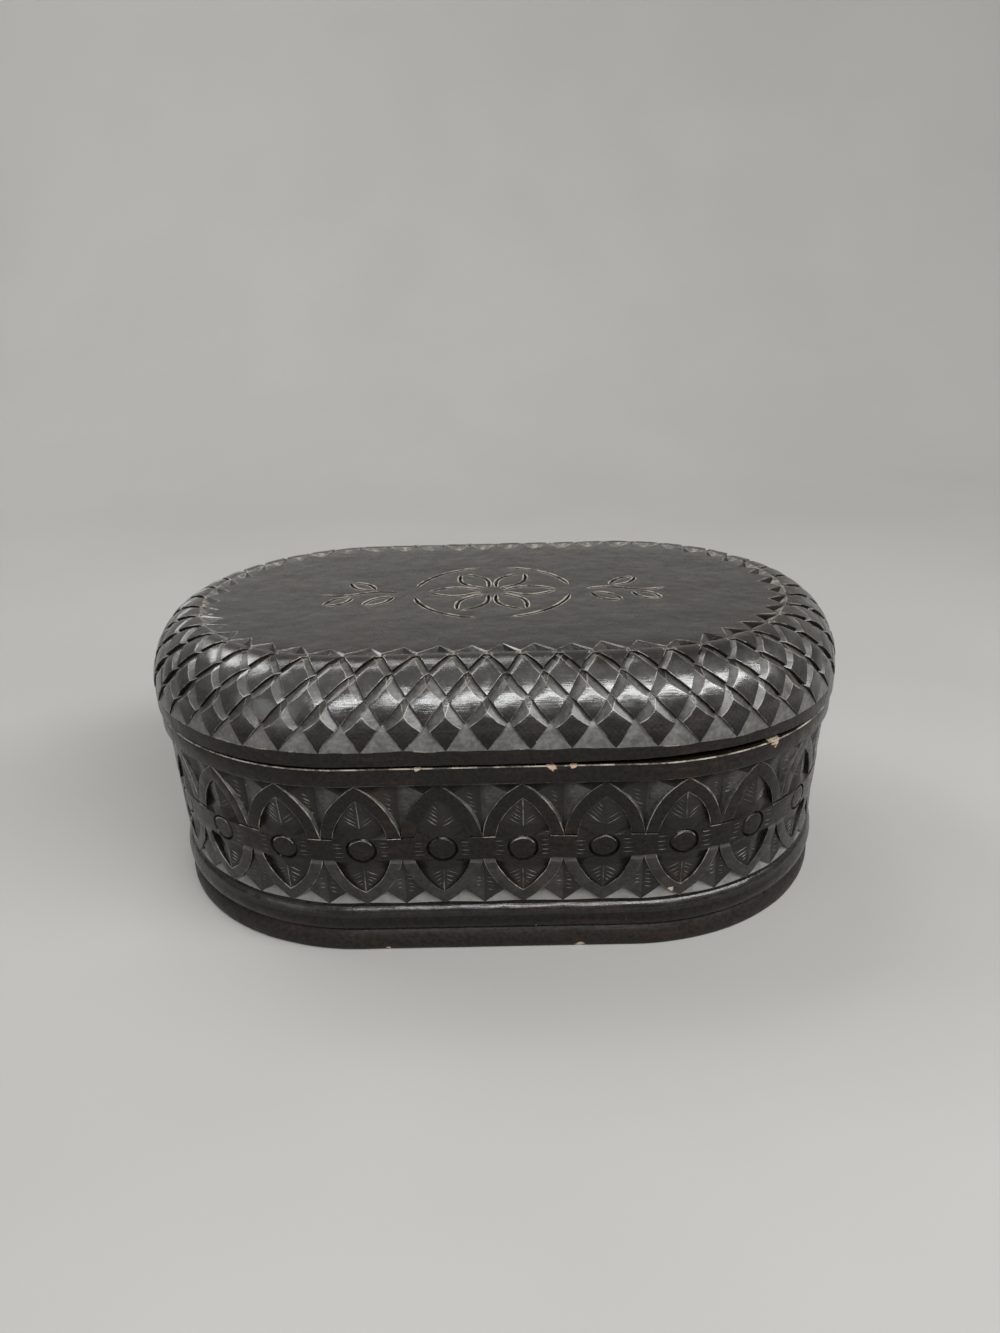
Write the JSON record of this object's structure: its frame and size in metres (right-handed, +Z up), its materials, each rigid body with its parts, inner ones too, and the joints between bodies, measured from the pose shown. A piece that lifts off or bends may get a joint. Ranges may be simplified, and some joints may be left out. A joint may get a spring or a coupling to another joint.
{
  "type": "trinket box",
  "caption": "Round-ended wooden trinket box with a carved frieze and a domed, lattice-carved lid that lifts straight off a locating lip.",
  "frame": {"origin": "middle of the underside of the base board, where the box stands", "axes": "+X along the length of the box, +Y across it towards the back, +Z up, the way the lid lifts off"},
  "size_m": [0.2, 0.126, 0.082],
  "materials": {
    "base_wood": "dark stained wood, rubbed to a dull sheen, with browner wear along the lower edge",
    "wall_wood": "ebonised wood, satin, carved and worn brighter along its edges",
    "lid_wood": "ebonised wood, satin to semi-gloss on the shoulder, with a faint red-brown cast on the flat top"
  },
  "bodies": {
    "box": {"box_wall": "wall_wood", "base_board": "base_wood"},
    "lid": {"lid": "lid_wood"}
  },
  "joints": [
    {"name": "lid_lift", "type": "slide", "parent": "box", "child": "lid", "axis": [0, 0, 1], "range_m": [0, 0.08]}
  ]
}
